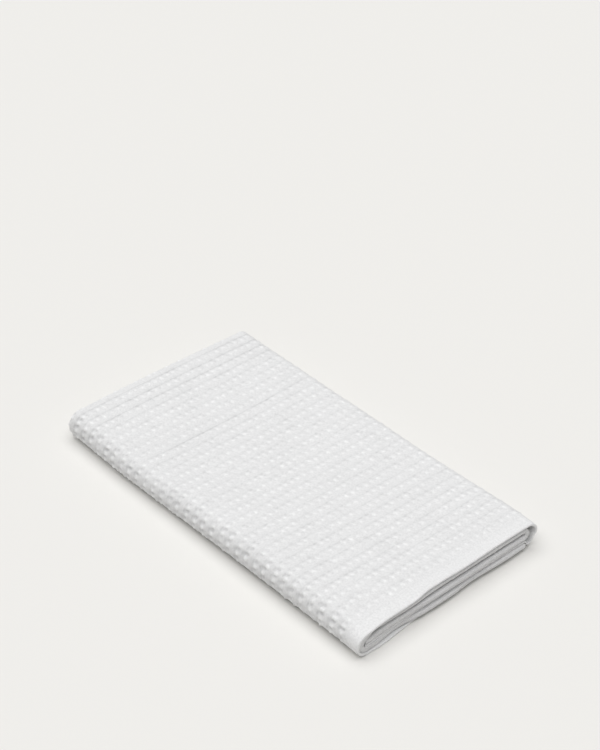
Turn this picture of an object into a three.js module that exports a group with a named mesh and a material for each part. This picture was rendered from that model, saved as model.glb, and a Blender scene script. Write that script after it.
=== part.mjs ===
import * as THREE from "three";

// A waffle-weave bath towel, folded flat. Its cloth is one rectangle: two short ends are hemmed, the
// long sides are selvedges. It is folded twice in thirds. The first fold lays the ends A and C over
// the middle B, and the second turns the right third, then the left third, under the middle.
// Millimetres. +X points to the open end with the hem, +Y to the side with the loose loop, +Z up.

// Driving sizes of the folded towel
const HEM_X = 226.6; // the hem's edge on top, at the open end
const FAR_X = -230.5; // outermost point of the far end, where the cloth turns round
const WIDTH = 251;
const CLOTH = 2.6; // the sheet's own thickness
const PITCH = 3.5; // from one layer to the next
const STACK_GAP = 1.0; // air between two stacks of three layers
const LOWER_FLAP = 219.5;
const UPPER_FLAP = 228;
const TUCK = 1.6; // how far the inner end A stops short of the far fold's centre
const ROLL_NOSE = 0.7; // a closed roll is this much flatter than a half circle

// Effects that grow towards the open end
const OPEN_FADE = 70; // the layers slip in and out over this length
const LOOSE_FADE = 260; // the outer layer's loop loosens over this length
const LOOSE = 9; // air in that loop at the open end
const LOOSE_REACH = 150; // and how far in under the top the air runs
const SAG = 5; // how far the loop hangs down past the lower flap's edge
const SAG_FROM = 3.6; // the hang starts this far inside the right turn's centre

// A soft crease runs across the top, a quarter of the way from the far end.
const CREASE = { x: -113.5, depth: 0.8, width: 4, reach: 92 };

// Steps of the mesh
const FLAT_STEPS = 14;
const FACE_STEPS = 26;
const CREASE_STEPS = [-10, -4, 0, 4, 10];

// The way across the towel, from the free edge of the lower flap to the free edge of the upper one.
// Each section has even steps, and extra stations at the shares of its length in the last column.
const SECTIONS = [
  { name: "lower flap", steps: 7, extra: [] },
  { name: "left turn", steps: 9, extra: [] },
  { name: "top", steps: 8, extra: [0.05] },
  { name: "right turn", steps: 8, extra: [] },
  { name: "upper flap", steps: 7, extra: [0.006, 0.012, 0.018] },
];

// The open end, place by place: how far the hem and the closed roll of A and B stand out along +X,
// and how far each is lifted.
const OPEN_END = [
  { section: "lower flap", along: 0, hem: -6, roll: 0.5, hemLift: 0, rollLift: 0 },
  { section: "lower flap", along: 0.15, hem: -5, roll: 1.4, hemLift: 0, rollLift: 0 },
  { section: "lower flap", along: 0.35, hem: -4, roll: 0.6, hemLift: 0, rollLift: 0 },
  { section: "lower flap", along: 0.5, hem: -3, roll: 3, hemLift: 0, rollLift: 0 },
  { section: "lower flap", along: 0.68, hem: -0.5, roll: 3, hemLift: 0, rollLift: 0 },
  { section: "lower flap", along: 0.8, hem: 2.4, roll: 0.4, hemLift: 0, rollLift: 0 },
  { section: "lower flap", along: 0.93, hem: 5.2, roll: 3, hemLift: 0, rollLift: 0 },
  { section: "lower flap", along: 1, hem: 4.8, roll: 3.7, hemLift: 0, rollLift: 0 },
  { section: "left turn", along: 0.5, hem: 5, roll: 4.2, hemLift: 0, rollLift: 0 },
  { section: "top", along: 0, hem: 5, roll: 3.2, hemLift: 0, rollLift: 0 },
  { section: "top", along: 0.05, hem: 4.2, roll: 0.4, hemLift: 0.1, rollLift: 0 },
  { section: "top", along: 0.12, hem: 3.3, roll: 0.6, hemLift: 0.2, rollLift: 0 },
  { section: "top", along: 0.22, hem: 2.8, roll: 1, hemLift: 0.3, rollLift: 0.1 },
  { section: "top", along: 0.3, hem: 2.3, roll: 0.8, hemLift: 0.5, rollLift: 0.2 },
  { section: "top", along: 0.45, hem: 0.3, roll: -0.8, hemLift: 0.8, rollLift: 0.2 },
  { section: "top", along: 0.8, hem: 0, roll: -1.4, hemLift: 0.7, rollLift: 0.1 },
  { section: "top", along: 1, hem: 0, roll: -1.8, hemLift: 0.6, rollLift: -0.2 },
  { section: "right turn", along: 0.5, hem: 0.8, roll: -1.5, hemLift: 0.4, rollLift: 0 },
  { section: "upper flap", along: 0, hem: -1.5, roll: -1.5, hemLift: 0, rollLift: 0 },
  { section: "upper flap", along: 0.1, hem: -1.8, roll: -0.5, hemLift: 0, rollLift: 0 },
  { section: "upper flap", along: 0.5, hem: -1, roll: 1.6, hemLift: 0, rollLift: 0 },
  { section: "upper flap", along: 0.85, hem: 0.8, roll: 1.8, hemLift: 0, rollLift: 0 },
  { section: "upper flap", along: 1, hem: 3.2, roll: 3.6, hemLift: 0, rollLift: 0 },
];

// The outline seen from above: how far each long side stands out past WIDTH / 2.
const SIDES = [
  { x: -222, left: -0.5, right: 1.0 },
  { x: -130, left: 1.2, right: 0.4 },
  { x: -40, left: 0.3, right: 0.6 },
  { x: 60, left: -0.3, right: -0.6 },
  { x: 150, left: -0.3, right: 0.6 },
  { x: 228, left: -0.3, right: 0.2 },
];

// Height of the top over the floor, in four rows along the towel. The turned edges stand higher
// than the middle, and the far end the highest.
const ROWS_Y = { left: -108, midLeft: -46, midRight: 32, right: 102 };
const HEIGHTS = [
  { x: -224, left: 32.8, midLeft: 34.4, midRight: 34.6, right: 34.0 },
  { x: -182, left: 31.6, midLeft: 32.4, midRight: 32.6, right: 33.2 },
  { x: -134, left: 30.4, midLeft: 30.2, midRight: 30.4, right: 33.0 },
  { x: -62, left: 30.6, midLeft: 28.9, midRight: 29.0, right: 31.4 },
  { x: 28, left: 32.0, midLeft: 30.0, midRight: 29.8, right: 31.4 },
  { x: 108, left: 32.6, midLeft: 31.0, midRight: 30.2, right: 30.8 },
  { x: 195, left: 31.0, midLeft: 30.6, midRight: 30.6, right: 31.4 },
  { x: 228, left: 27.0, midLeft: 28.0, midRight: 28.8, right: 28.6 },
];

// Sizes worked out from those above
const HALF = CLOTH / 2;
const STACK = 3 * PITCH;
const LOWER_Z = STACK - (PITCH / 2 - HALF);
const LIFT_Z = STACK - (PITCH - CLOTH) + STACK_GAP;
const UPPER_Z = LOWER_Z + LIFT_Z;
const TOP_Z = UPPER_Z + STACK_GAP - (PITCH - CLOTH);
const HEIGHT = TOP_Z + LOWER_Z;
const LEFT_TURN = { radius: (TOP_Z - LOWER_Z) / 2, z: (TOP_Z + LOWER_Z) / 2 };
const RIGHT_TURN = { radius: (TOP_Z - UPPER_Z) / 2, z: (TOP_Z + UPPER_Z) / 2 };
const LEFT_Y = -WIDTH / 2 + LEFT_TURN.radius + LOWER_Z;
const RIGHT_Y = WIDTH / 2 - RIGHT_TURN.radius - LOWER_Z;
const FAR_TURN_X = FAR_X + PITCH + HALF;
const ROLL_X = HEM_X - ROLL_NOSE * (PITCH / 2 + HALF);

// A smooth value between the rows of a table, which are in order of the column named by "by".
function between(rows, by, at, column) {
  const last = rows.length - 1;
  if (at <= rows[0][by]) return rows[0][column];
  if (at >= rows[last][by]) return rows[last][column];
  const i = rows.findIndex((row) => row[by] > at) - 1;
  const [a, b, c, d] = [-1, 0, 1, 2].map((k) => rows[THREE.MathUtils.clamp(i + k, 0, last)]);
  const t = (at - b[by]) / (c[by] - b[by]);
  const span = c[by] - b[by];
  const slope = (p, q) => (p === q ? 0 : ((q[column] - p[column]) / (q[by] - p[by])) * span);
  const [m0, m1] = [slope(a, c), slope(b, d)];
  const [t2, t3] = [t * t, t * t * t];
  const rise = b[column] * (2 * t3 - 3 * t2 + 1) + c[column] * (3 * t2 - 2 * t3);
  return rise + m0 * (t3 - 2 * t2 + t) + m1 * (t3 - t2);
}

// The stations of the way across: where the stack's inner face is, and which way it faces.
function stations() {
  const turn = (start, { radius, z }, y) => (t) => {
    const angle = start - t * Math.PI;
    const [ny, nz] = [Math.cos(angle), Math.sin(angle)];
    return { y: y + radius * ny, z: z + radius * nz, ny, nz };
  };
  const ways = {
    "lower flap": (t) => ({ y: LEFT_Y + LOWER_FLAP * (1 - t), z: LOWER_Z, ny: 0, nz: -1 }),
    "left turn": turn(-Math.PI / 2, LEFT_TURN, LEFT_Y),
    top: (t) => ({ y: THREE.MathUtils.lerp(LEFT_Y, RIGHT_Y, t), z: TOP_Z, ny: 0, nz: 1 }),
    "right turn": turn(Math.PI / 2, RIGHT_TURN, RIGHT_Y),
    "upper flap": (t) => ({ y: RIGHT_Y - UPPER_FLAP * t, z: UPPER_Z, ny: 0, nz: -1 }),
  };
  const list = [];
  SECTIONS.forEach(({ name, steps, extra }, number) => {
    const even = Array.from({ length: steps + 1 }, (_, k) => k / steps);
    const shares = [...even, ...extra].sort((a, b) => a - b);
    for (const share of number ? shares.slice(1) : shares) {
      const place = number + share;
      list.push({ ...ways[name](share), place, ...openEnd(place) });
    }
  });
  return list;
}

// What the open end does at one place of the way across.
function openEnd(place) {
  const rows = OPEN_END.map((row) => ({
    ...row,
    place: SECTIONS.findIndex(({ name }) => name === row.section) + row.along,
  }));
  const value = (column) => between(rows, "place", place, column);
  return {
    hem: value("hem"),
    roll: value("roll"),
    hemLift: value("hemLift"),
    rollLift: value("rollLift"),
  };
}

// Stops along a flat stretch, closer together towards its two ends.
function stops(steps, extra = []) {
  const [middle, reach] = [(ROLL_X + FAR_TURN_X) / 2, (ROLL_X - FAR_TURN_X) / 2];
  const list = [...extra];
  for (let k = 1; k < steps; k++) list.push(middle - reach * Math.cos((k / steps) * Math.PI));
  return list.sort((a, b) => a - b);
}

// The first fold, cut lengthwise: a closed outline round the sheet in x and n, where n is the height
// over the stack's inner face. B lies lowest, A on it, and C on top.
function foldedStrip() {
  const [nB, nA, nC] = [0.5 * PITCH, 1.5 * PITCH, 2.5 * PITCH];
  const flat = (xs, n, part) => xs.map((x) => ({ x, n, part }));
  const bend = (x, n, radius, from, to, steps, part, flatter = 1) =>
    Array.from({ length: steps + 1 }, (_, k) => {
      const angle = THREE.MathUtils.lerp(from, to, k / steps);
      return { x: x + flatter * radius * Math.cos(angle), n: n + radius * Math.sin(angle), part };
    });
  const quarter = Math.PI / 2;
  const coarse = stops(FLAT_STEPS);
  const fine = stops(FACE_STEPS, CREASE_STEPS.map((step) => CREASE.x + step));
  const back = [...coarse].reverse();
  const face = [
    ...flat(coarse, nA + HALF, "roll"),
    ...bend(ROLL_X, PITCH, PITCH / 2 + HALF, quarter, -quarter, 7, "roll", ROLL_NOSE),
    ...flat(back, nB - HALF, "roll"),
    ...bend(FAR_TURN_X, nA, PITCH + HALF, -quarter, -3 * quarter, 8, "hem"),
    ...flat(fine, nC + HALF, "hem"),
  ];
  const lining = [
    ...flat(back, nC - HALF, "hem"),
    ...bend(FAR_TURN_X, nA, PITCH - HALF, -3 * quarter, -quarter, 6, "hem"),
    ...flat(coarse, nB + HALF, "roll"),
    ...bend(ROLL_X, PITCH, PITCH / 2 - HALF, -quarter, quarter, 4, "roll", ROLL_NOSE),
    ...flat(back, nA - HALF, "roll"),
  ];
  return [
    ...face,
    ...bend(HEM_X - HALF, nC, HALF, quarter, -quarter, 4, "hem"),
    ...lining,
    ...bend(FAR_TURN_X + TUCK, nA, HALF, 3 * quarter, quarter, 2, "roll"),
  ];
}

// Height of the towel's top at x and y.
function heightAt(x, y) {
  const across = Object.entries(ROWS_Y).map(([row, rowY]) => ({
    y: rowY,
    height: between(HEIGHTS, "x", x, row),
  }));
  const trough = Math.exp(-(((x - CREASE.x) / CREASE.width) ** 2));
  const faded = 1 - THREE.MathUtils.smoothstep(Math.abs(y), CREASE.reach, WIDTH / 2);
  return between(across, "y", y, "height") - CREASE.depth * trough * faded;
}

// Where a point of the strip comes to lie at one station of the way across. On the right the inner
// layers keep back from the outer one, and its loop hangs down a little.
function place(point, station) {
  const { x, n, part } = point;
  const open = THREE.MathUtils.smoothstep(x, HEM_X - OPEN_FADE, HEM_X);
  const loose = THREE.MathUtils.smoothstep(x, HEM_X - LOOSE_FADE, HEM_X);
  const inner = part === "roll";
  const rightward = THREE.MathUtils.smoothstep(station.y, RIGHT_Y - LOOSE_REACH, RIGHT_Y);
  const air = inner && station.place > 2 ? LOOSE * loose * rightward : 0;
  const outside = THREE.MathUtils.smoothstep(station.y, RIGHT_Y - SAG_FROM, RIGHT_Y + SAG_FROM);
  const under = THREE.MathUtils.smoothstep(-station.nz, -0.2, 0.9);
  const sag = !inner && station.place > 2 ? SAG * loose * outside * under : 0;
  const reach = n + open * (inner ? station.rollLift : station.hemLift);
  const flatY = station.y + station.ny * reach - air;
  const flatZ = station.z + station.nz * reach - sag;
  const side = THREE.MathUtils.clamp(flatY / WIDTH + 0.5, 0, 1);
  const left = between(SIDES, "x", x, "left");
  const right = between(SIDES, "x", x, "right");
  const y = flatY - left * (1 - side) + right * side;
  const z = (flatZ * heightAt(x, y)) / HEIGHT;
  return new THREE.Vector3(x + open * (inner ? station.roll : station.hem), y, z);
}

// One selvedge: it closes the outline whose points start at "first", and looks along "facing" in y.
function selvedge(positions, first, count, facing) {
  const corner = (k) => new THREE.Vector2(positions[3 * (first + k)], positions[3 * (first + k) + 2]);
  const outline = Array.from({ length: count }, (_, k) => corner(k));
  const turned = THREE.ShapeUtils.isClockWise(outline) === facing > 0;
  const triangles = THREE.ShapeUtils.triangulateShape(outline, []);
  return triangles.flatMap(([a, b, c]) => (turned ? [a, b, c] : [a, c, b]).map((k) => first + k));
}

// The towel: the strip's outline carried along the way across, and closed at both selvedges.
function clothGeometry() {
  const outline = foldedStrip();
  const way = stations();
  const count = outline.length;
  const positions = [];
  for (const station of way) {
    for (const point of outline) positions.push(...place(point, station).toArray());
  }
  const faces = [];
  for (let s = 0; s < way.length - 1; s++) {
    for (let k = 0; k < count; k++) {
      const [a, b] = [s * count + k, s * count + ((k + 1) % count)];
      faces.push(a, b, b + count, a, b + count, a + count);
    }
  }
  faces.push(...selvedge(positions, 0, count, 1));
  faces.push(...selvedge(positions, (way.length - 1) * count, count, -1));
  const geometry = new THREE.BufferGeometry();
  geometry.setAttribute("position", new THREE.Float32BufferAttribute(positions, 3));
  geometry.setIndex(faces);
  geometry.computeBoundingBox();
  const { min, max } = geometry.boundingBox;
  geometry.translate(-(min.x + max.x) / 2, -(min.y + max.y) / 2, -min.z);
  geometry.computeVertexNormals();
  return geometry;
}

const cotton = new THREE.MeshStandardMaterial({ color: 0xf1f1f0, roughness: 0.92, metalness: 0 });

const towel = new THREE.Mesh(clothGeometry(), cotton);
towel.name = "towel_cloth";

const group = new THREE.Group();
group.add(towel);

export default group;
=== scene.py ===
import math
import random

import bmesh
import bpy
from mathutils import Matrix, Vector


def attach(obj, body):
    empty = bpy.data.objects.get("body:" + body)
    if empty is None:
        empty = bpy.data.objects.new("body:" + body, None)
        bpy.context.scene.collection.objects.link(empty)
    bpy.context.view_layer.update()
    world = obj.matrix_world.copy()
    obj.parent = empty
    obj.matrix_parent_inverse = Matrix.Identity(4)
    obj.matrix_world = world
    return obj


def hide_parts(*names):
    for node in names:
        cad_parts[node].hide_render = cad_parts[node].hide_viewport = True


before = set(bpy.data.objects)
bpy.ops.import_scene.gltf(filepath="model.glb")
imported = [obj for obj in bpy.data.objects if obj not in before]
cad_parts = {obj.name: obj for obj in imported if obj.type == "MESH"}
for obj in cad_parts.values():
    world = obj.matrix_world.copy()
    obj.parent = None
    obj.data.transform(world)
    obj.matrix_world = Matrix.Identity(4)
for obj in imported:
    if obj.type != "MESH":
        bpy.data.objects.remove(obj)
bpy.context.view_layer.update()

# A waffle-weave bath towel, folded flat. One closed sheet of cloth follows the folds of the solid
# towel_cloth: in thirds lengthwise first, then in thirds across. Sizes are in millimetres until the
# points are placed, and in metres from there on.
MM = 0.001

# The folded towel, as in the solid. +X points to the open end with the hem, +Y to the loose loop.
HEM_X = 226.6  # the hem's edge on top, at the open end
FAR_X = -230.5  # outermost point of the far end, where the cloth turns round
WIDTH = 251.0
CLOTH = 2.6  # the sheet's own thickness
PITCH = 3.5  # from one layer to the next
STACK_GAP = 1.0  # air between two stacks of three layers
LOWER_FLAP = 219.5
UPPER_FLAP = 229.0
TUCK = 1.6  # how far the inner end stops short of the far fold's centre
ROLL_NOSE = 0.7  # how deep an edge at the open end is rounded, against a half circle
LEFT_NOSE = 0.2  # and how deep it is rounded on the left turn
LEFT_EASE = {"before": 30, "until": 8, "after": 16}  # it changes over these lengths beside the turn
CENTRE = Vector((0.65, 0.01, 0.0))  # the middle of the folded towel, which is the frame's zero

# The way across goes from the free edge of the lower flap to the free edge of the upper one. A place
# on it is the number of a section and the share of its length.
LOWER, LEFT, TOP, RIGHT, UPPER = range(5)

# Effects that grow towards the open end
OPEN_FADE = 70.0  # the layers slip in and out over this length
LOOSE_FADE = 260.0  # the outer layer's loop loosens over this length
LOOSE = 5.5  # air in that loop at the open end
LOOSE_REACH = 150.0  # and how far to the left of the right turn it starts
SAG = 6.0  # how far the loop hangs down past the lower flap's edge
SAG_PAST = {"from": 1, "to": 5}  # it hangs from this far past that edge
SAG_FACING = {"from": 0.7, "to": 1.0}  # and where the layer faces down this much
UPPER_DROP = 1.0  # how far the upper flap sinks on to the lower one
DROP_PLACE = {"from": RIGHT + 0.8, "to": UPPER + 0.05}  # the places between which that sets in

# A soft crease runs across the top, a quarter of the way from the far end.
CREASE = {"x": -112.0, "depth": 0.4, "width": 3.0, "reach": 70.0}

# The open end, place by place: how far the hem and the closed roll stand out, and are lifted
OPEN_END = [
    {"place": LOWER + 0.0, "hem": -6.0, "roll": 0.5, "hem_up": 0.0, "roll_up": 0.0},
    {"place": LOWER + 0.15, "hem": -5.0, "roll": 1.4, "hem_up": 0.0, "roll_up": 0.0},
    {"place": LOWER + 0.35, "hem": -4.0, "roll": 0.6, "hem_up": 0.0, "roll_up": 0.0},
    {"place": LOWER + 0.5, "hem": -3.0, "roll": 3.0, "hem_up": 0.0, "roll_up": 0.0},
    {"place": LOWER + 0.68, "hem": -0.5, "roll": 3.0, "hem_up": 0.0, "roll_up": 0.0},
    {"place": LOWER + 0.8, "hem": 2.4, "roll": 0.4, "hem_up": 0.0, "roll_up": 0.0},
    {"place": LOWER + 0.93, "hem": 5.2, "roll": 3.0, "hem_up": 0.0, "roll_up": 0.0},
    {"place": LEFT + 0.0, "hem": 4.8, "roll": 3.7, "hem_up": 0.0, "roll_up": 0.0},
    {"place": LEFT + 0.5, "hem": 5.0, "roll": 4.2, "hem_up": 0.0, "roll_up": 0.0},
    {"place": TOP + 0.0, "hem": 5.0, "roll": 3.2, "hem_up": 0.0, "roll_up": 0.0},
    {"place": TOP + 0.05, "hem": 3.7, "roll": 0.4, "hem_up": 0.1, "roll_up": 0.0},
    {"place": TOP + 0.12, "hem": 2.7, "roll": 0.6, "hem_up": 0.2, "roll_up": 0.0},
    {"place": TOP + 0.22, "hem": 2.6, "roll": 1.0, "hem_up": 0.3, "roll_up": 0.1},
    {"place": TOP + 0.29, "hem": 2.1, "roll": 0.8, "hem_up": 0.4, "roll_up": 0.2},
    {"place": TOP + 0.36, "hem": 0.0, "roll": -0.2, "hem_up": 0.9, "roll_up": 0.3},
    {"place": TOP + 0.45, "hem": -0.3, "roll": -1.0, "hem_up": 1.0, "roll_up": 0.3},
    {"place": TOP + 0.6, "hem": 0.0, "roll": -1.2, "hem_up": 0.8, "roll_up": 0.2},
    {"place": TOP + 0.78, "hem": -1.2, "roll": -1.8, "hem_up": 1.0, "roll_up": 0.2},
    {"place": RIGHT + 0.0, "hem": -1.4, "roll": -2.2, "hem_up": 1.2, "roll_up": 0.3},
    {"place": RIGHT + 0.5, "hem": 0.2, "roll": -1.2, "hem_up": 0.6, "roll_up": 0.2},
    {"place": UPPER + 0.0, "hem": -1.5, "roll": -0.8, "hem_up": 0.0, "roll_up": 0.0},
    {"place": UPPER + 0.1, "hem": -1.8, "roll": -0.5, "hem_up": 0.0, "roll_up": 0.0},
    {"place": UPPER + 0.5, "hem": -1.0, "roll": 1.6, "hem_up": 0.0, "roll_up": 0.0},
    {"place": UPPER + 0.85, "hem": 0.8, "roll": 1.8, "hem_up": 0.0, "roll_up": 0.0},
    {"place": UPPER + 1.0, "hem": 3.2, "roll": 3.6, "hem_up": 0.0, "roll_up": 0.0},
]

# The outline seen from above: how far each long side stands out
SIDES = [
    {"x": -222, "left": -0.5, "right": 1.0},
    {"x": -130, "left": 1.2, "right": 0.4},
    {"x": -40, "left": 0.3, "right": 0.6},
    {"x": 60, "left": -0.3, "right": -0.6},
    {"x": 150, "left": -0.3, "right": 0.6},
    {"x": 228, "left": -0.3, "right": 0.2},
]

# Height of the top over the floor, in four rows along the towel
ROWS_Y = {"left": -108, "mid_left": -46, "mid_right": 32, "right": 102}
HEIGHTS = [
    {"x": -224, "left": 32.8, "mid_left": 34.4, "mid_right": 34.6, "right": 34.0},
    {"x": -182, "left": 31.6, "mid_left": 32.4, "mid_right": 32.6, "right": 33.2},
    {"x": -134, "left": 30.4, "mid_left": 30.2, "mid_right": 30.4, "right": 33.0},
    {"x": -62, "left": 30.6, "mid_left": 28.9, "mid_right": 29.0, "right": 31.4},
    {"x": 28, "left": 32.0, "mid_left": 30.0, "mid_right": 29.8, "right": 31.4},
    {"x": 108, "left": 32.6, "mid_left": 31.0, "mid_right": 30.2, "right": 30.8},
    {"x": 195, "left": 31.0, "mid_left": 30.6, "mid_right": 30.6, "right": 31.4},
    {"x": 228, "left": 27.0, "mid_left": 28.0, "mid_right": 28.8, "right": 28.6},
]

# Sizes worked out from those above
HALF = CLOTH / 2
STACK = 3 * PITCH
LOWER_Z = STACK - (PITCH / 2 - HALF)
UPPER_Z = LOWER_Z + STACK - (PITCH - CLOTH) + STACK_GAP
TOP_Z = UPPER_Z + STACK_GAP - (PITCH - CLOTH)
HEIGHT = TOP_Z + LOWER_Z
LEFT_RADIUS = (TOP_Z - LOWER_Z) / 2
RIGHT_RADIUS = (TOP_Z - UPPER_Z) / 2
LEFT_Y = -WIDTH / 2 + LEFT_RADIUS + LOWER_Z
RIGHT_Y = WIDTH / 2 - RIGHT_RADIUS - LOWER_Z
FAR_TURN_X = FAR_X + PITCH + HALF
ROLL_X = HEM_X - ROLL_NOSE * (PITCH / 2 + HALF)
HEM_END = HEM_X - HALF

# The way across is measured on the outer face: w is y on the top, and goes on round both turns.
LEFT_W = LEFT_Y - math.pi * (LEFT_RADIUS + LOWER_Z)
RIGHT_W = RIGHT_Y + math.pi * (RIGHT_RADIUS + LOWER_Z)

# The waffle weave
CELL = {"x": 13.517, "w": 8.76}  # one cell, lengthwise and across
CELL_ZERO = {"x": 109.27, "w": 19.13}  # a knot of the weave
WEAVE_END = HEM_X - 16.5  # the waffle cells stop here
WEAVE_FADE = 7.0  # and fade out over this far on either side
TURN_EASE = 8.0  # the relief changes over this far on either side of the top's left edge
KNOT = {"height": 0.80, "at_x": 0.8, "at_w": -0.9, "x": 1.4, "w": 1.45}
PITS = [
    # one beside each knot, and one between two knots; "turned" is the depth on the left turn
    {"depth": 0.40, "turned": 0.60, "at_x": -3.6, "at_w": 2.2, "x": 1.2, "w": 2.0},
    {"depth": 0.28, "turned": 0.75, "at_x": 0.6, "at_w": 4.1, "x": 1.6, "w": 1.3},
]
GROOVE = {"depth": 0.13, "from_knot": -4.2, "x": 1.0, "turned": 0.4}
CREASE_GROOVE = {"width": 6.0, "reach": 45.0, "ends": 0.3}  # it is shallower towards both sides
GROUND = 0.14  # how far the field between the knots lies below the plain hem
UNEVEN = {"height": 0.65, "shift": 1.1}  # how much the knots and pits differ
SEED = 7

# How strong the relief is, against the top's
NOSE_SHARE = 0.5  # on a roll's nose
SIDE_SHARE = 1.9  # on the left turn
SIDE_EASE = 14.0  # it sets in over this far past the top's left edge
BELOW_FADE = 1.3  # this much of that is lost again where the turn meets the floor
BELOW_EASE = {"before": 2, "after": 9}  # lengths on either side of where the lower flap begins
FAR_SHARE = 0.8  # round the far turn
FAR_EASE = {"before": 2, "after": 12}  # lengths on either side of the far turn's centre

# How deep the grooves between the columns of knots are along the towel, against GROOVE's depth
GROOVES = [
    {"x": -215, "deep": 1.3},
    {"x": -186, "deep": 1.3},
    {"x": -172, "deep": 0.5},
    {"x": -134, "deep": 0.1},
    {"x": -120, "deep": 0.3},
    {"x": -111, "deep": 1.7},
    {"x": -100, "deep": 0.7},
    {"x": -60, "deep": 0.25},
    {"x": 0, "deep": 0.3},
    {"x": 60, "deep": 0.45},
    {"x": 109, "deep": 0.55},
    {"x": 150, "deep": 0.7},
    {"x": 180, "deep": 0.45},
    {"x": 204, "deep": 0.15},
]

# The mesh
CELL_COLUMNS = [-5.2, -3.6, -1.4, 0.6, 2.5, 4.9]  # columns round a knot, from its middle
CELL_ROWS = 6
UNDER_ROWS = 3  # rows to a cell on the flaps underneath
FLAT_STEPS = 14  # steps along a plain flat stretch
HEM_STOPS = [9.0, 6.0, 4.0, 2.0, 0.8]  # columns on the hem, from its end
UNDER_STOPS = [0.8, 4.0, 12.0]  # and those that are kept on the flaps underneath
UNDER_FAR_STOP = 2.0  # the first column there, from the far turn
FIRST_COLUMN = 0.5  # the columns round the knots start this far from the far turn
LAST_COLUMN = 4.0  # and stop this far past the weave's end
BEND_STEPS = {"roll": 10, "far": 12, "hem": 6, "far lining": 6, "roll lining": 4, "inner end": 2}

# The cloth's length in its map, for each millimetre of a bend; less than none where it runs back
MAP_GROWTH = {"roll": -0.4, "far": -0.7, "far lining": 1.6, "roll lining": 2.0}

FILL = 0.3  # the sheet is up to this much thicker than the cloth, on its inner face
ROLL_WALL = 2.2  # from the roll's tip to its lining's
MERGE = 1e-7  # metres


def smooth(value, low, high):
    """0 below low and 1 above high, with a soft change between them."""
    t = min(max((value - low) / (high - low), 0.0), 1.0)
    return t * t * (3 - 2 * t)


def between(rows, by, at, column):
    """A smooth value between the rows of a table, which are in order of the column named by "by"."""
    last = len(rows) - 1
    if at <= rows[0][by]:
        return rows[0][column]
    if at >= rows[last][by]:
        return rows[last][column]
    i = next(k for k, row in enumerate(rows) if row[by] > at) - 1
    a, b, c, d = (rows[min(max(i + k, 0), last)] for k in (-1, 0, 1, 2))
    span = c[by] - b[by]
    t = (at - b[by]) / span

    def slope(p, q):
        return 0 if p is q else (q[column] - p[column]) / (q[by] - p[by]) * span

    t2, t3 = t * t, t * t * t
    rise = b[column] * (2 * t3 - 3 * t2 + 1) + c[column] * (3 * t2 - 2 * t3)
    return rise + slope(a, c) * (t3 - 2 * t2 + t) + slope(b, d) * (t3 - t2)


def on_turn(share, start, y, z, radius):
    """A place on a turn round y and z, and which way it faces."""
    angle = start - share * math.pi
    ny, nz = math.cos(angle), math.sin(angle)
    return {"y": y + radius * ny, "z": z + radius * nz, "ny": ny, "nz": nz}


def station(w):
    """One place of the way across: where the stack's inner face is, and which way it faces."""
    if w < LEFT_W:
        here = {"y": LEFT_Y + LEFT_W - w, "z": LOWER_Z, "ny": 0.0, "nz": -1.0}
        here["place"] = LOWER + 1 - (LEFT_W - w) / LOWER_FLAP
    elif w < LEFT_Y:
        share = (w - LEFT_W) / (LEFT_Y - LEFT_W)
        here = on_turn(share, -math.pi / 2, LEFT_Y, (TOP_Z + LOWER_Z) / 2, LEFT_RADIUS)
        here["place"] = LEFT + share
    elif w <= RIGHT_Y:
        here = {"y": w, "z": TOP_Z, "ny": 0.0, "nz": 1.0}
        here["place"] = TOP + (w - LEFT_Y) / (RIGHT_Y - LEFT_Y)
    elif w < RIGHT_W:
        share = (w - RIGHT_Y) / (RIGHT_W - RIGHT_Y)
        here = on_turn(share, math.pi / 2, RIGHT_Y, (TOP_Z + UPPER_Z) / 2, RIGHT_RADIUS)
        here["place"] = RIGHT + share
    else:
        here = {"y": RIGHT_Y - (w - RIGHT_W), "z": UPPER_Z, "ny": 0.0, "nz": -1.0}
        here["place"] = UPPER + (w - RIGHT_W) / UPPER_FLAP
    here["w"] = w
    for column in ("hem", "roll", "hem_up", "roll_up"):
        here[column] = between(OPEN_END, "place", here["place"], column)
    return here


def height_at(x, y):
    """Height of the towel's top at x and y."""
    across = [{"y": ROWS_Y[row], "height": between(HEIGHTS, "x", x, row)} for row in ROWS_Y]
    trough = math.exp(-(((x - CREASE["x"]) / CREASE["width"]) ** 2))
    faded = 1 - smooth(abs(y), CREASE["reach"], WIDTH / 2)
    return between(across, "y", y, "height") - CREASE["depth"] * trough * faded


def nose_at(w):
    """How round the edges at the open end are: nearly flat round the left turn."""
    left = smooth(w, LEFT_W - LEFT_EASE["before"], LEFT_W - LEFT_EASE["until"])
    left -= smooth(w, LEFT_Y, LEFT_Y + LEFT_EASE["after"])
    return ROLL_NOSE + (LEFT_NOSE - ROLL_NOSE) * left


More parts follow.
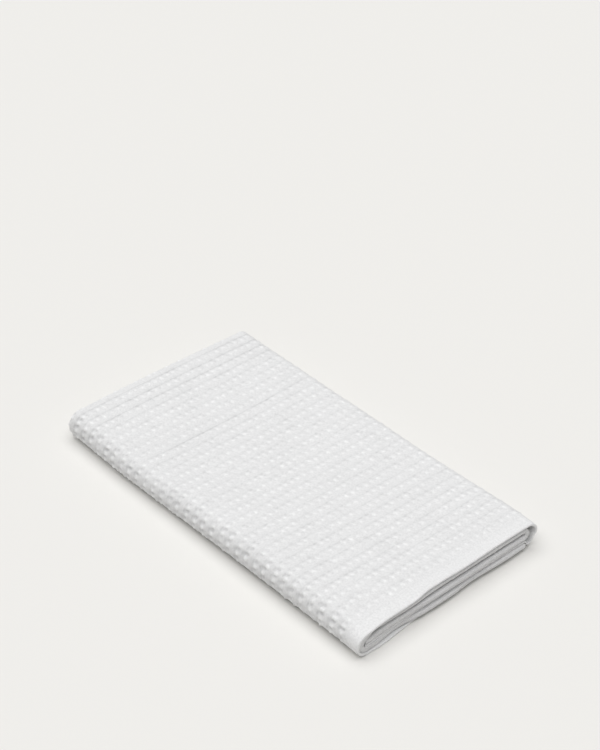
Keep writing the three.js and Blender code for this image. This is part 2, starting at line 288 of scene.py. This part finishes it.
def placed(x, n, part, here):
    """Where a point of the first fold comes to lie at one station of the way across, in metres."""
    opened = smooth(x, HEM_X - OPEN_FADE, HEM_X)
    loose = smooth(x, HEM_X - LOOSE_FADE, HEM_X)
    inner = part == "roll"
    past_top = here["place"] > TOP
    air = sag = 0.0
    if past_top and inner:
        air = LOOSE * loose * smooth(here["y"], RIGHT_Y - LOOSE_REACH, RIGHT_Y)
    if past_top and not inner:
        edge = LEFT_Y + LOWER_FLAP
        clear = smooth(here["y"], edge + SAG_PAST["from"], edge + SAG_PAST["to"])
        sag = SAG * loose * clear * smooth(-here["nz"], SAG_FACING["from"], SAG_FACING["to"])
    sag += UPPER_DROP * opened * smooth(here["place"], DROP_PLACE["from"], DROP_PLACE["to"])
    reach = n + opened * here["roll_up" if inner else "hem_up"]
    flat_y = here["y"] + here["ny"] * reach - air
    flat_z = here["z"] + here["nz"] * reach - sag
    side = min(max(flat_y / WIDTH + 0.5, 0.0), 1.0)
    y = flat_y - between(SIDES, "x", x, "left") * (1 - side) + between(SIDES, "x", x, "right") * side
    z = flat_z * height_at(x, y) / HEIGHT
    return (Vector((x + opened * here["roll" if inner else "hem"], y, z)) - CENTRE) * MM


# The weave's relief
ROWS_OF_CELLS = range(-50, 60)  # numbered from the cell at CELL_ZERO
COLUMNS_OF_CELLS = range(-30, 12)
dice = random.Random(SEED)


def odd_cell():
    """How much one cell's knot and pits differ from the others'."""
    return {
        "height": 1 + UNEVEN["height"] * dice.uniform(-1, 1),
        "pit": 1 + UNEVEN["height"] * dice.uniform(-1, 1),
        "x": UNEVEN["shift"] * dice.uniform(-1, 1),
        "w": UNEVEN["shift"] * dice.uniform(-1, 1),
    }


uneven = {(i, j): odd_cell() for i in COLUMNS_OF_CELLS for j in ROWS_OF_CELLS}


def mound(u, v, shape):
    """Height of a soft round hill of height 1, at u and v from a cell's knot."""
    return math.exp(-(((u - shape["at_x"]) / shape["x"]) ** 2) - ((v - shape["at_w"]) / shape["w"]) ** 2)


def turned_at(w):
    """0 on the top and 1 on the left turn."""
    return smooth(LEFT_Y - w, -TURN_EASE, TURN_EASE)


def groove_at(x, w):
    """How deep the groove beside a column of knots is, against GROOVE's depth."""
    deep = between(GROOVES, "x", x, "deep") * (1 - (1 - GROOVE["turned"]) * turned_at(w))
    at_crease = math.exp(-(((x - CREASE["x"]) / CREASE_GROOVE["width"]) ** 2))
    outside = smooth(abs(w), CREASE_GROOVE["reach"], WIDTH / 2)
    return deep * (1 - (1 - CREASE_GROOVE["ends"]) * at_crease * outside)


def relief(x, w):
    """Height of the weave over the cloth's mean face: knots, pits between them, and grooves."""
    if x > WEAVE_END + WEAVE_FADE:
        return 0.0
    near_i = round((x - CELL_ZERO["x"]) / CELL["x"])
    near_j = round((w - CELL_ZERO["w"]) / CELL["w"])
    turned = turned_at(w)
    deep = groove_at(x, w)
    total = -GROUND
    for i in (near_i - 1, near_i, near_i + 1):
        for j in (near_j - 1, near_j, near_j + 1):
            odd = uneven[(i, j)]
            u = x - CELL_ZERO["x"] - i * CELL["x"] - odd["x"]
            v = w - CELL_ZERO["w"] - j * CELL["w"] - odd["w"]
            total += KNOT["height"] * odd["height"] * mound(u, v, KNOT)
            for pit in PITS:
                depth = pit["depth"] + (pit["turned"] - pit["depth"]) * turned
                total -= odd["pit"] * depth * mound(u, v, pit)
        near = uneven[(i, near_j)]
        off = x - CELL_ZERO["x"] - i * CELL["x"] - GROOVE["from_knot"]
        total -= GROOVE["depth"] * deep * near["pit"] * math.exp(-((off / GROOVE["x"]) ** 2))
    return total * (1 - smooth(x, WEAVE_END - WEAVE_FADE, WEAVE_END + WEAVE_FADE))


def weave_share(point, here):
    """How strong the relief is: more on the left turn, less on the far turn and on the rolls."""
    if point["part"] == "roll":
        return NOSE_SHARE
    side = 1 - smooth(here["w"], LEFT_Y - SIDE_EASE, LEFT_Y)
    above = smooth(here["w"], LEFT_W - BELOW_EASE["before"], LEFT_W + BELOW_EASE["after"])
    side -= BELOW_FADE * (1 - above)
    far = 1 - smooth(point["x"], FAR_TURN_X - FAR_EASE["before"], FAR_TURN_X + FAR_EASE["after"])
    return (1 + (SIDE_SHARE - 1) * side) * (1 + (FAR_SHARE - 1) * far)


# The first fold, cut lengthwise


def bend(x, n, radius, start, end, steps, part, length, grow, weave=None, nose=False):
    """Points round a bend in x and n. "length" is the cloth's length at its start, and grows with
    the arc. A nose has its tip at x, and how far it falls back is scaled at each station."""
    points = []
    for k in range(steps + 1):
        angle = start + (end - start) * k / steps
        cos, sin = math.cos(angle), math.sin(angle)
        arc = radius * abs(angle - start)
        points.append({
            "x": x if nose else x + radius * cos,
            "back": radius * (1 - cos) if nose else 0.0,
            "n": n + radius * sin,
            "nx": cos,
            "nn": sin,
            "part": part,
            "s": length + grow * arc,
            "weave": None if weave is None else weave(arc),
        })
    return points


def flat(xs, n, facing, part, first, grow, weave=None):
    """Points along a flat stretch. "first" is the cloth's length at the roll's centre."""
    return [
        {
            "x": x,
            "back": 0.0,
            "n": n,
            "nx": 0.0,
            "nn": facing,
            "part": part,
            "s": first + grow * (x - ROLL_X),
            "weave": None if weave is None else weave(x),
        }
        for x in xs
    ]


def flat_stops():
    """Columns of a plain flat stretch, closer together towards its two ends."""
    middle, reach = (ROLL_X + FAR_TURN_X) / 2, (ROLL_X - FAR_TURN_X) / 2
    return [middle - reach * math.cos(k / FLAT_STEPS * math.pi) for k in range(1, FLAT_STEPS)]


def weave_stops():
    """Columns of the outer face: some round each knot of the weave, and a few on the hem."""
    columns = [CELL_ZERO["x"] + i * CELL["x"] + u for i in COLUMNS_OF_CELLS for u in CELL_COLUMNS]
    columns = [x for x in columns if FAR_TURN_X + FIRST_COLUMN < x < WEAVE_END + LAST_COLUMN]
    return sorted(columns + [HEM_END - off for off in HEM_STOPS])


def folded_strip():
    """The outline round the sheet in x and n, where n is the height over the stack's inner face. B
    lies lowest and A on it, with a closed roll between them, and C with the hem lies on top."""
    low, mid, high = 0.5 * PITCH, 1.5 * PITCH, 2.5 * PITCH
    coarse, fine = flat_stops(), weave_stops()
    back = coarse[::-1]
    quarter = math.pi / 2
    nose = PITCH / 2 + HALF
    half_fill = FILL / 2
    far_length = HEM_END - FAR_TURN_X
    on_hem = HEM_END - ROLL_X
    round_far = far_length + math.pi * PITCH
    roll_length = round_far + ROLL_X - FAR_TURN_X
    after_roll = roll_length + 0.5 * math.pi * PITCH
    inner_end = after_roll + ROLL_X - FAR_TURN_X
    steps, grow = BEND_STEPS, MAP_GROWTH

    def on_roll(arc):
        return CELL_ZERO["x"] - 0.5 * math.pi * nose + arc

    def on_far_turn(arc):
        return FAR_TURN_X - math.pi * (PITCH + HALF) + arc

    return [
        # the outer face: over A, round the roll, under B, round the far turn, and over C
        *flat(coarse, mid + HALF, 1.0, "roll", after_roll, -1),
        *bend(HEM_X, PITCH, nose, quarter, -quarter, steps["roll"], "roll",
              after_roll, grow["roll"], on_roll, nose=True),
        *flat(back, low - HALF, -1.0, "roll", roll_length, 1),
        *bend(FAR_TURN_X, mid, PITCH + HALF, -quarter, -3 * quarter, steps["far"], "hem",
              round_far, grow["far"], on_far_turn),
        *flat(fine, high + HALF, 1.0, "hem", on_hem, -1, lambda x: x),
        # round the hem's edge, and back along the lining to A's free end
        *bend(HEM_X, high - half_fill, HALF + half_fill, quarter, -quarter, steps["hem"], "hem",
              0.0, 0.0, nose=True),
        *flat(back, high - HALF - FILL, -1.0, "hem", on_hem, -1),
        *bend(FAR_TURN_X, mid, PITCH - HALF - half_fill, -3 * quarter, -quarter, steps["far lining"],
              "hem", far_length, grow["far lining"]),
        *flat(coarse, low + HALF + half_fill, 1.0, "roll", roll_length, 1),
        *bend(HEM_X - ROLL_WALL, PITCH, PITCH / 2 - HALF - half_fill, -quarter, quarter,
              steps["roll lining"], "roll", roll_length, grow["roll lining"], nose=True),
        *flat(back, mid - HALF - half_fill, -1.0, "roll", after_roll, -1),
        *bend(FAR_TURN_X + TUCK, mid, HALF, 3 * quarter, quarter, steps["inner end"], "roll",
              inner_end, 0.0),
    ]


def way_across():
    """The stations: close together where the cloth shows, and wider apart on the flaps underneath."""
    step, under_step = CELL["w"] / CELL_ROWS, CELL["w"] / UNDER_ROWS
    start, end = LEFT_W - LOWER_FLAP, RIGHT_W + UPPER_FLAP
    first = math.ceil((LEFT_W - CELL["w"] - CELL_ZERO["w"]) / step)
    last = math.floor((RIGHT_W + CELL["w"] - CELL_ZERO["w"]) / step)
    shown = [CELL_ZERO["w"] + k * step for k in range(first, last + 1)]
    before = math.floor((shown[0] - start) / under_step)
    after = math.floor((end - shown[-1]) / under_step)
    under = [start + (shown[0] - start) * k / before for k in range(before)]
    beyond = [shown[-1] + (end - shown[-1]) * k / after for k in range(1, after + 1)]
    return [{"w": w, "shown": False} for w in under] + [
        {"w": w, "shown": True} for w in shown
    ] + [{"w": w, "shown": False} for w in beyond]


def under_x(x):
    """On the flaps underneath, a column of the outer face joins the nearest of a few."""
    wide = [HEM_END - off for off in UNDER_STOPS] + flat_stops()[:-1]
    wide.append(FAR_TURN_X + UNDER_FAR_STOP)
    return min(wide, key=lambda stop: abs(stop - x))


def map_cloth(bm, outline, ways, grid):
    """The cloth's own map: length along it and place across it, in metres."""
    uv = bm.loops.layers.uv.new("cloth")
    lengths = [p["s"] for p in outline] + [outline[0]["s"]]
    for face in bm.faces:
        for loop in face.loops:
            i, j = grid[loop.vert.index]
            loop[uv].uv = (lengths[i] * MM, ways[j]["w"] * MM)


def fold_cloth(bm, outline, ways, grid):
    """Moves every point of the flat grid to its place on the folds, with the weave's relief."""
    hollow = bm.verts.layers.float.new("hollow")
    groove = bm.verts.layers.float.new("groove")
    joined = {p["x"]: under_x(p["x"]) for p in outline if p["weave"] == p["x"]}
    noses = [nose_at(here["w"]) for here in ways]
    for vert, (i, j) in zip(bm.verts, grid):
        point, here = outline[i % len(outline)], ways[j]
        x, rise = point["x"] - noses[j] * point["back"], 0.0
        if not here["shown"] and point["weave"] == x:
            x = joined[x]
        elif point["weave"] is not None:
            rise = weave_share(point, here) * relief(point["weave"], here["w"])
            # the groove's depth, which sets how dark its painted shade is
            if point["part"] == "hem" and point["nx"] == 0:
                vert[groove] = groove_at(x, here["w"])
        # painted light: the inner layers get a fixed painted shade, and elsewhere the relief's depth
        # paints the knots whiter and the hollows greyer
        vert[hollow] = INNER_PAINTED_SHADE if point["part"] == "roll" else -rise
        vert.co = placed(x + point["nx"] * rise, point["n"] + point["nn"] * rise, point["part"], here)


def close_selvedges(bm):
    """A flat strip of faces closes each of the sheet's two long edges."""
    open_edges = [e for e in bm.edges if e.is_boundary]
    selvedges = bmesh.ops.holes_fill(bm, edges=open_edges, sides=0)["faces"]
    for face in selvedges:
        face.smooth = False
    bmesh.ops.triangulate(bm, faces=selvedges, ngon_method="EAR_CLIP")


def towel_mesh():
    """A flat grid of outline points by stations, folded, joined at the seam and closed."""
    outline = folded_strip()
    ways = [{**station(way["w"]), "shown": way["shown"]} for way in way_across()]
    columns, rows = len(outline), len(ways)
    bm = bmesh.new()
    bmesh.ops.create_grid(bm, x_segments=columns, y_segments=rows - 1, size=0.5)
    grid = [(round((v.co.x + 0.5) * columns), round((v.co.y + 0.5) * (rows - 1))) for v in bm.verts]
    map_cloth(bm, outline, ways, grid)
    fold_cloth(bm, outline, ways, grid)
    bmesh.ops.remove_doubles(bm, verts=bm.verts, dist=MERGE)
    for face in bm.faces:
        face.smooth = True
    close_selvedges(bm)
    bmesh.ops.recalc_face_normals(bm, faces=bm.faces)
    return bm


def towel():
    """The folded towel, one closed sheet."""
    bm = towel_mesh()
    mesh = bpy.data.meshes.new("waffle_towel")
    bm.to_mesh(mesh)
    bm.free()
    piece = bpy.data.objects.new("waffle_towel", mesh)
    bpy.context.scene.collection.objects.link(piece)
    return piece


# Finishes
THREAD = {"along": 0.00125, "across": 0.0015}  # metres from one thread to the next
YARN = {"ribs": 0.45, "fuzz": 1.6, "strength": 0.35, "height": 0.0004}
FUZZ = {"scale": 850, "detail": 3}
STITCH = {"at": 0.0135, "wide": 0.0007, "every": 0.0032, "share": 0.62}  # metres from the hem's end
# Painted light: the knots are painted whiter as a highlight and the hollows greyer as shade, by the
# depth of the relief
KNOT_PAINTED_HIGHLIGHT = (0.90, 0.90, 0.902, 1)
PLAIN_WHITE = (0.818, 0.818, 0.819, 1)
HOLLOW_PAINTED_SHADE = (0.66, 0.66, 0.662, 1)
STITCH_GREY = (0.77, 0.77, 0.77, 1)
# depths at which the painted highlight is whitest and the painted shade greyest
PAINTED_LIGHT_DEPTHS = {"from": -0.45, "to": 0.75}  # depths of hollow in millimetres, whitest and greyest
# Painted shade: the inner layers, recessed under the outer one at the open end, are greyed as if they
# lay in a hollow
INNER_PAINTED_SHADE = 0.5  # the layers inside the outer one are as grey as a hollow of this depth
# Painted shade in each groove: its width and how much darker it is
GROOVE_PAINTED_SHADE = {"wide": 0.055, "dark": 0.06}  # share of a cell, and how much darker
PATCHES = {"scale": 70, "detail": 2}
CLOUDS = {"scale": 26, "detail": 4, "mottle": 0.06}
FIBRES = {"scale": 500, "detail": 2, "mottle": 0.32, "rough": 0.2}
ROUGH = 0.9
SHEEN = {"weight": 0.10, "roughness": 0.5}
COTTON_SPECULAR = 0.25


def group_of(name, outputs):
    """A shader node group with these outputs."""
    group = bpy.data.node_groups.new(name, "ShaderNodeTree")
    for output, kind in outputs.items():
        group.interface.new_socket(name=output, in_out="OUTPUT", socket_type=kind)
    return group, group.nodes, group.links, group.nodes.new("NodeGroupOutput")


def maths_in(nodes, links):
    """A function that adds a maths node. Each operand is a number or another node's socket."""

    def maths(operation, first, second=None):
        node = nodes.new("ShaderNodeMath")
        node.operation = operation
        for socket, value in zip(node.inputs, (first, second)):
            if isinstance(value, (int, float)):
                socket.default_value = value
            elif value is not None:
                links.new(value, socket)
        return node.outputs[0]

    return maths


def cloth_axes(nodes, links):
    """Along the cloth and across it, in metres, from the piece's own map."""
    place = nodes.new("ShaderNodeUVMap")
    place.uv_map = "cloth"
    apart = nodes.new("ShaderNodeSeparateXYZ")
    links.new(place.outputs["UV"], apart.inputs["Vector"])
    return apart.outputs["X"], apart.outputs["Y"]


def noise_of(nodes, links, grain):
    """A noise as fine and as detailed as the grain says."""
    here = nodes.new("ShaderNodeTexCoord")
    node = nodes.new("ShaderNodeTexNoise")
    links.new(here.outputs["Object"], node.inputs["Vector"])
    node.inputs["Scale"].default_value = grain["scale"]
    node.inputs["Detail"].default_value = grain["detail"]
    return node.outputs[0]


def attribute_of(nodes, name):
    """A value that the sheet's points carry."""
    node = nodes.new("ShaderNodeAttribute")
    node.attribute_name = name
    return node.outputs["Fac"]


def cotton_threads():
    """Height of the yarn: crossing threads with a little fuzz, and the hem's row of stitches."""
    outputs = {"Height": "NodeSocketFloat", "Stitch": "NodeSocketFloat"}
    group, nodes, links, out = group_of("cotton_threads", outputs)
    maths = maths_in(nodes, links)
    along, across = cloth_axes(nodes, links)
    warp = maths("SINE", maths("MULTIPLY", along, 2 * math.pi / THREAD["along"]))
    weft = maths("SINE", maths("MULTIPLY", across, 2 * math.pi / THREAD["across"]))
    yarn = maths("ADD", maths("MULTIPLY", warp, weft), maths("MULTIPLY", weft, YARN["ribs"]))
    fuzz = maths("MULTIPLY", noise_of(nodes, links, FUZZ), YARN["fuzz"])
    off = maths("ABSOLUTE", maths("SUBTRACT", along, STITCH["at"]))
    in_row = maths("LESS_THAN", off, STITCH["wide"] / 2)
    step = maths("FRACT", maths("DIVIDE", across, STITCH["every"]))
    stitch = maths("MULTIPLY", in_row, maths("LESS_THAN", step, STITCH["share"]))
    links.new(maths("ADD", yarn, fuzz), out.inputs["Height"])
    links.new(stitch, out.inputs["Stitch"])
    return group


def painted_hollow_light(nodes, links):
    """Painted highlight white on the knots, the plain cloth's own white between, and painted shade grey
    in the hollows.
    """
    depth = nodes.new("ShaderNodeMapRange")
    links.new(attribute_of(nodes, "hollow"), depth.inputs["Value"])
    depth.inputs["From Min"].default_value = PAINTED_LIGHT_DEPTHS["from"]
    depth.inputs["From Max"].default_value = PAINTED_LIGHT_DEPTHS["to"]
    ramp = nodes.new("ShaderNodeValToRGB")
    links.new(depth.outputs[0], ramp.inputs["Fac"])
    ramp.color_ramp.elements[0].color = KNOT_PAINTED_HIGHLIGHT
    ramp.color_ramp.elements[1].color = HOLLOW_PAINTED_SHADE
    level = PAINTED_LIGHT_DEPTHS["from"] / (PAINTED_LIGHT_DEPTHS["from"] - PAINTED_LIGHT_DEPTHS["to"])
    ramp.color_ramp.elements.new(level).color = PLAIN_WHITE
    return ramp.outputs["Color"]


def groove_painted_shadows(nodes, links):
    """Painted shade: a broken dark line in each groove, as strong as the groove is deep."""
    maths = maths_in(nodes, links)
    along, _ = cloth_axes(nodes, links)
    first = (HEM_END - CELL_ZERO["x"] - GROOVE["from_knot"]) / CELL["x"] - 0.5
    cells = maths("SUBTRACT", maths("DIVIDE", along, CELL["x"] * MM), first)
    off = maths("SUBTRACT", maths("FRACT", cells), 0.5)
    squared = maths("DIVIDE", maths("MULTIPLY", off, off), GROOVE_PAINTED_SHADE["wide"] ** 2)
    line = maths("EXPONENT", maths("MULTIPLY", squared, -1.0))
    patches = noise_of(nodes, links, PATCHES)
    broken = maths("MULTIPLY", patches, 2 * GROOVE_PAINTED_SHADE["dark"])
    return maths("MULTIPLY", maths("MULTIPLY", line, broken), attribute_of(nodes, "groove"))


def cotton_colour_and_painted_light():
    """Colour of the cotton: painted shade makes it greyer in the hollows and grooves, a painted
    highlight makes it whiter on the knots, and it is faintly mottled all over.
    """
    outputs = {"Colour": "NodeSocketColor", "Rough": "NodeSocketFloat"}
    group, nodes, links, out = group_of("cotton_colour_and_painted_light", outputs)
    maths = maths_in(nodes, links)
    cloudy = maths("SUBTRACT", noise_of(nodes, links, CLOUDS), 0.5)
    fibres = maths("SUBTRACT", noise_of(nodes, links, FIBRES), 0.5)
    clouds = maths("MULTIPLY", cloudy, CLOUDS["mottle"])
    mottle = maths("ADD", clouds, maths("MULTIPLY", fibres, FIBRES["mottle"]))
    value = maths("SUBTRACT", maths("ADD", mottle, 1.0), groove_painted_shadows(nodes, links))
    tint = nodes.new("ShaderNodeHueSaturation")
    links.new(painted_hollow_light(nodes, links), tint.inputs["Color"])
    links.new(value, tint.inputs["Value"])
    links.new(tint.outputs["Color"], out.inputs["Colour"])
    rough = maths("ADD", maths("MULTIPLY", fibres, FIBRES["rough"]), ROUGH)
    links.new(rough, out.inputs["Rough"])
    return group


def white_cotton():
    """The towel's cotton: its colour with painted shade and highlight, its stitches and the bump of its
    threads.
    """
    material = bpy.data.materials.new("white_cotton")
    material.use_nodes = True
    nodes, links = material.node_tree.nodes, material.node_tree.links
    cloth = nodes["Principled BSDF"]
    cloth.inputs["Specular IOR Level"].default_value = COTTON_SPECULAR
    cloth.inputs["Sheen Weight"].default_value = SHEEN["weight"]
    cloth.inputs["Sheen Roughness"].default_value = SHEEN["roughness"]
    colour_with_painted_light, threads = nodes.new("ShaderNodeGroup"), nodes.new("ShaderNodeGroup")
    colour_with_painted_light.node_tree, threads.node_tree = cotton_colour_and_painted_light(), cotton_threads()
    sewn = nodes.new("ShaderNodeMix")
    sewn.data_type = "RGBA"
    links.new(threads.outputs["Stitch"], sewn.inputs["Factor"])
    links.new(colour_with_painted_light.outputs["Colour"], sewn.inputs["A"])
    sewn.inputs["B"].default_value = STITCH_GREY
    links.new(sewn.outputs["Result"], cloth.inputs["Base Color"])
    links.new(colour_with_painted_light.outputs["Rough"], cloth.inputs["Roughness"])
    bump = nodes.new("ShaderNodeBump")
    bump.inputs["Strength"].default_value = YARN["strength"]
    bump.inputs["Distance"].default_value = YARN["height"]
    links.new(threads.outputs["Height"], bump.inputs["Height"])
    links.new(bump.outputs["Normal"], cloth.inputs["Normal"])
    return material


FLOOR = {"colour": (0.80, 0.79, 0.765, 1), "roughness": 0.9, "half": 5.0}  # half its width, metres


def pale_floor():
    """The plain matt ground under the towel."""
    material = bpy.data.materials.new("pale_floor")
    material.use_nodes = True
    surface = material.node_tree.nodes["Principled BSDF"]
    surface.inputs["Base Color"].default_value = FLOOR["colour"]
    surface.inputs["Roughness"].default_value = FLOOR["roughness"]
    surface.inputs["Specular IOR Level"].default_value = 0.0
    return material


# The studio. The camera was fitted to the photo. Its place is in millimetres, like the tables'.
AZIMUTH = 48.606
ELEVATION = 35.21
FOCAL = 90.756
SENSOR = 36.0
EYE = Vector((1166.16, -1020.24, 1241.29))
FAR_CLIP = 50.0
KEY = {"from": -20, "high": 84, "strength": 2.70, "wide": 80}  # all but its strength in degrees
SKY = 0.23


def looking_from(azimuth, elevation):
    """The way from the towel towards a place so far round and so high, in degrees."""
    az, el = math.radians(azimuth), math.radians(elevation)
    return Vector((math.sin(az) * math.cos(el), -math.cos(az) * math.cos(el), math.sin(el)))


def camera():
    """The photo's camera."""
    data = bpy.data.cameras.new("photo_view")
    data.lens = FOCAL
    data.sensor_width = SENSOR
    data.clip_end = FAR_CLIP
    eye = bpy.data.objects.new("photo_view", data)
    eye.location = (EYE - CENTRE) * MM
    eye.rotation_euler = (-looking_from(AZIMUTH, ELEVATION)).to_track_quat("-Z", "Y").to_euler()
    bpy.context.scene.collection.objects.link(eye)
    bpy.context.scene.camera = eye


def key_light():
    """A wide soft light from high over the towel."""
    data = bpy.data.lights.new("key", "SUN")
    data.energy = KEY["strength"]
    data.angle = math.radians(KEY["wide"])
    lamp = bpy.data.objects.new("key", data)
    lamp.location = looking_from(KEY["from"], KEY["high"])
    lamp.rotation_euler = lamp.location.to_track_quat("Z", "Y").to_euler()
    bpy.context.scene.collection.objects.link(lamp)


def studio():
    """A plain pale floor, an even white sky and the key light."""
    bm = bmesh.new()
    bmesh.ops.create_grid(bm, x_segments=4, y_segments=4, size=FLOOR["half"])
    mesh = bpy.data.meshes.new("floor")
    bm.to_mesh(mesh)
    bm.free()
    floor = bpy.data.objects.new("floor", mesh)
    bpy.context.scene.collection.objects.link(floor)
    mesh.materials.append(pale_floor())
    world = bpy.data.worlds.new("studio")
    world.use_nodes = True
    world.node_tree.nodes["Background"].inputs["Color"].default_value = (1.0, 1.0, 1.0, 1)
    world.node_tree.nodes["Background"].inputs["Strength"].default_value = SKY
    bpy.context.scene.world = world
    key_light()
    bpy.context.scene.view_settings.view_transform = "Standard"


camera()
studio()
cloth = towel()
cloth.data.materials.append(white_cotton())
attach(cloth, "root")
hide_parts("towel_cloth")
